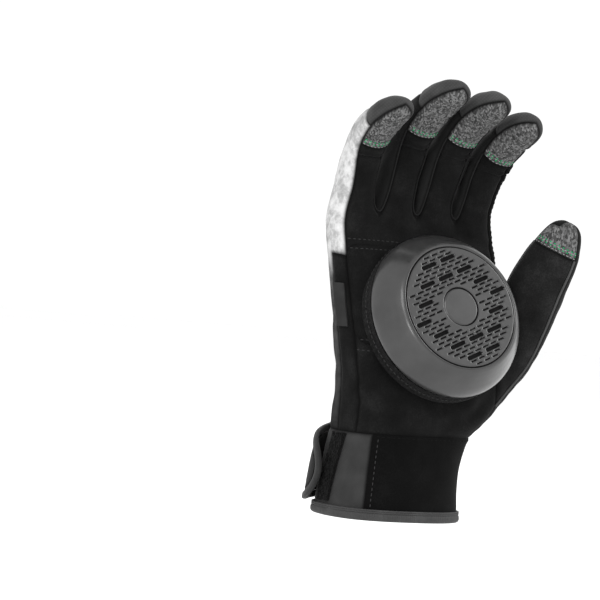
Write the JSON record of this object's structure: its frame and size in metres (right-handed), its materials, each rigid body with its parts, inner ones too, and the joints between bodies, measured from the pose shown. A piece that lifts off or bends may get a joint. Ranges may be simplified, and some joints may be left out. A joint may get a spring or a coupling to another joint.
{
  "type": "longboard slide glove",
  "caption": "Right-hand slide glove in its worn, curved form, with a round plastic slide puck on the palm, a wrist strap and a thumb held apart.",
  "frame": {"origin": "centre of the wrist opening, at the lower edge of the hem binding", "axes": "+Z from the wrist opening to the fingertips, the palm and its puck face -Y, the thumb is on +X"},
  "size_m": [0.1415, 0.0828, 0.2319],
  "materials": {
    "suede": "black synthetic suede, matt",
    "stretch_cloth": "black stretch cloth, matt",
    "heather_knit": "grey heather knit with green stitches",
    "cap_cloth": "charcoal woven cloth",
    "printed_cloth": "white to charcoal misty print on stretch cloth",
    "binding_tape": "ribbed charcoal tape",
    "hook_and_loop": "black hook and loop",
    "puck_plastic": "mid grey moulded plastic",
    "dark_rubber": "charcoal moulded rubber",
    "green_rubber": "bright green moulded rubber"
  },
  "bodies": {
    "root": {"cuff_back": "stretch_cloth", "cuff_front": "suede", "palm_panel": "suede", "thumb_back": "stretch_cloth", "back_panel": "printed_cloth", "side_gusset": "stretch_cloth", "web_guard": "suede", "fourchette_0": "stretch_cloth", "tip_patch_pinky": "heather_knit", "tip_cap_pinky": "cap_cloth", "fourchette_1": "stretch_cloth", "tip_patch_ring": "heather_knit", "tip_cap_ring": "cap_cloth", "fourchette_2": "stretch_cloth", "tip_patch_middle": "heather_knit", "tip_cap_middle": "cap_cloth", "tip_patch_index": "heather_knit", "index_side": "stretch_cloth", "tip_cap_index": "cap_cloth", "thumb_front": "suede", "tip_patch_thumb": "heather_knit", "palm_overlay": "suede", "hem_binding": "binding_tape", "wrist_strap": "stretch_cloth", "strap_binding": "binding_tape", "keyhole_binding": "binding_tape", "emblem_patch": "dark_rubber", "emblem_bar_1": "green_rubber", "emblem_bar_2": "green_rubber", "emblem_bar_3": "green_rubber", "emblem_bar_4": "green_rubber", "emblem_bar_5": "green_rubber", "emblem_bar_6": "green_rubber", "emblem_bar_7": "green_rubber", "emblem_bar_8": "green_rubber", "loop_patch": "hook_and_loop", "side_tag": "dark_rubber", "hook_disc": "hook_and_loop", "slide_puck": "puck_plastic"}
  },
  "joints": []
}
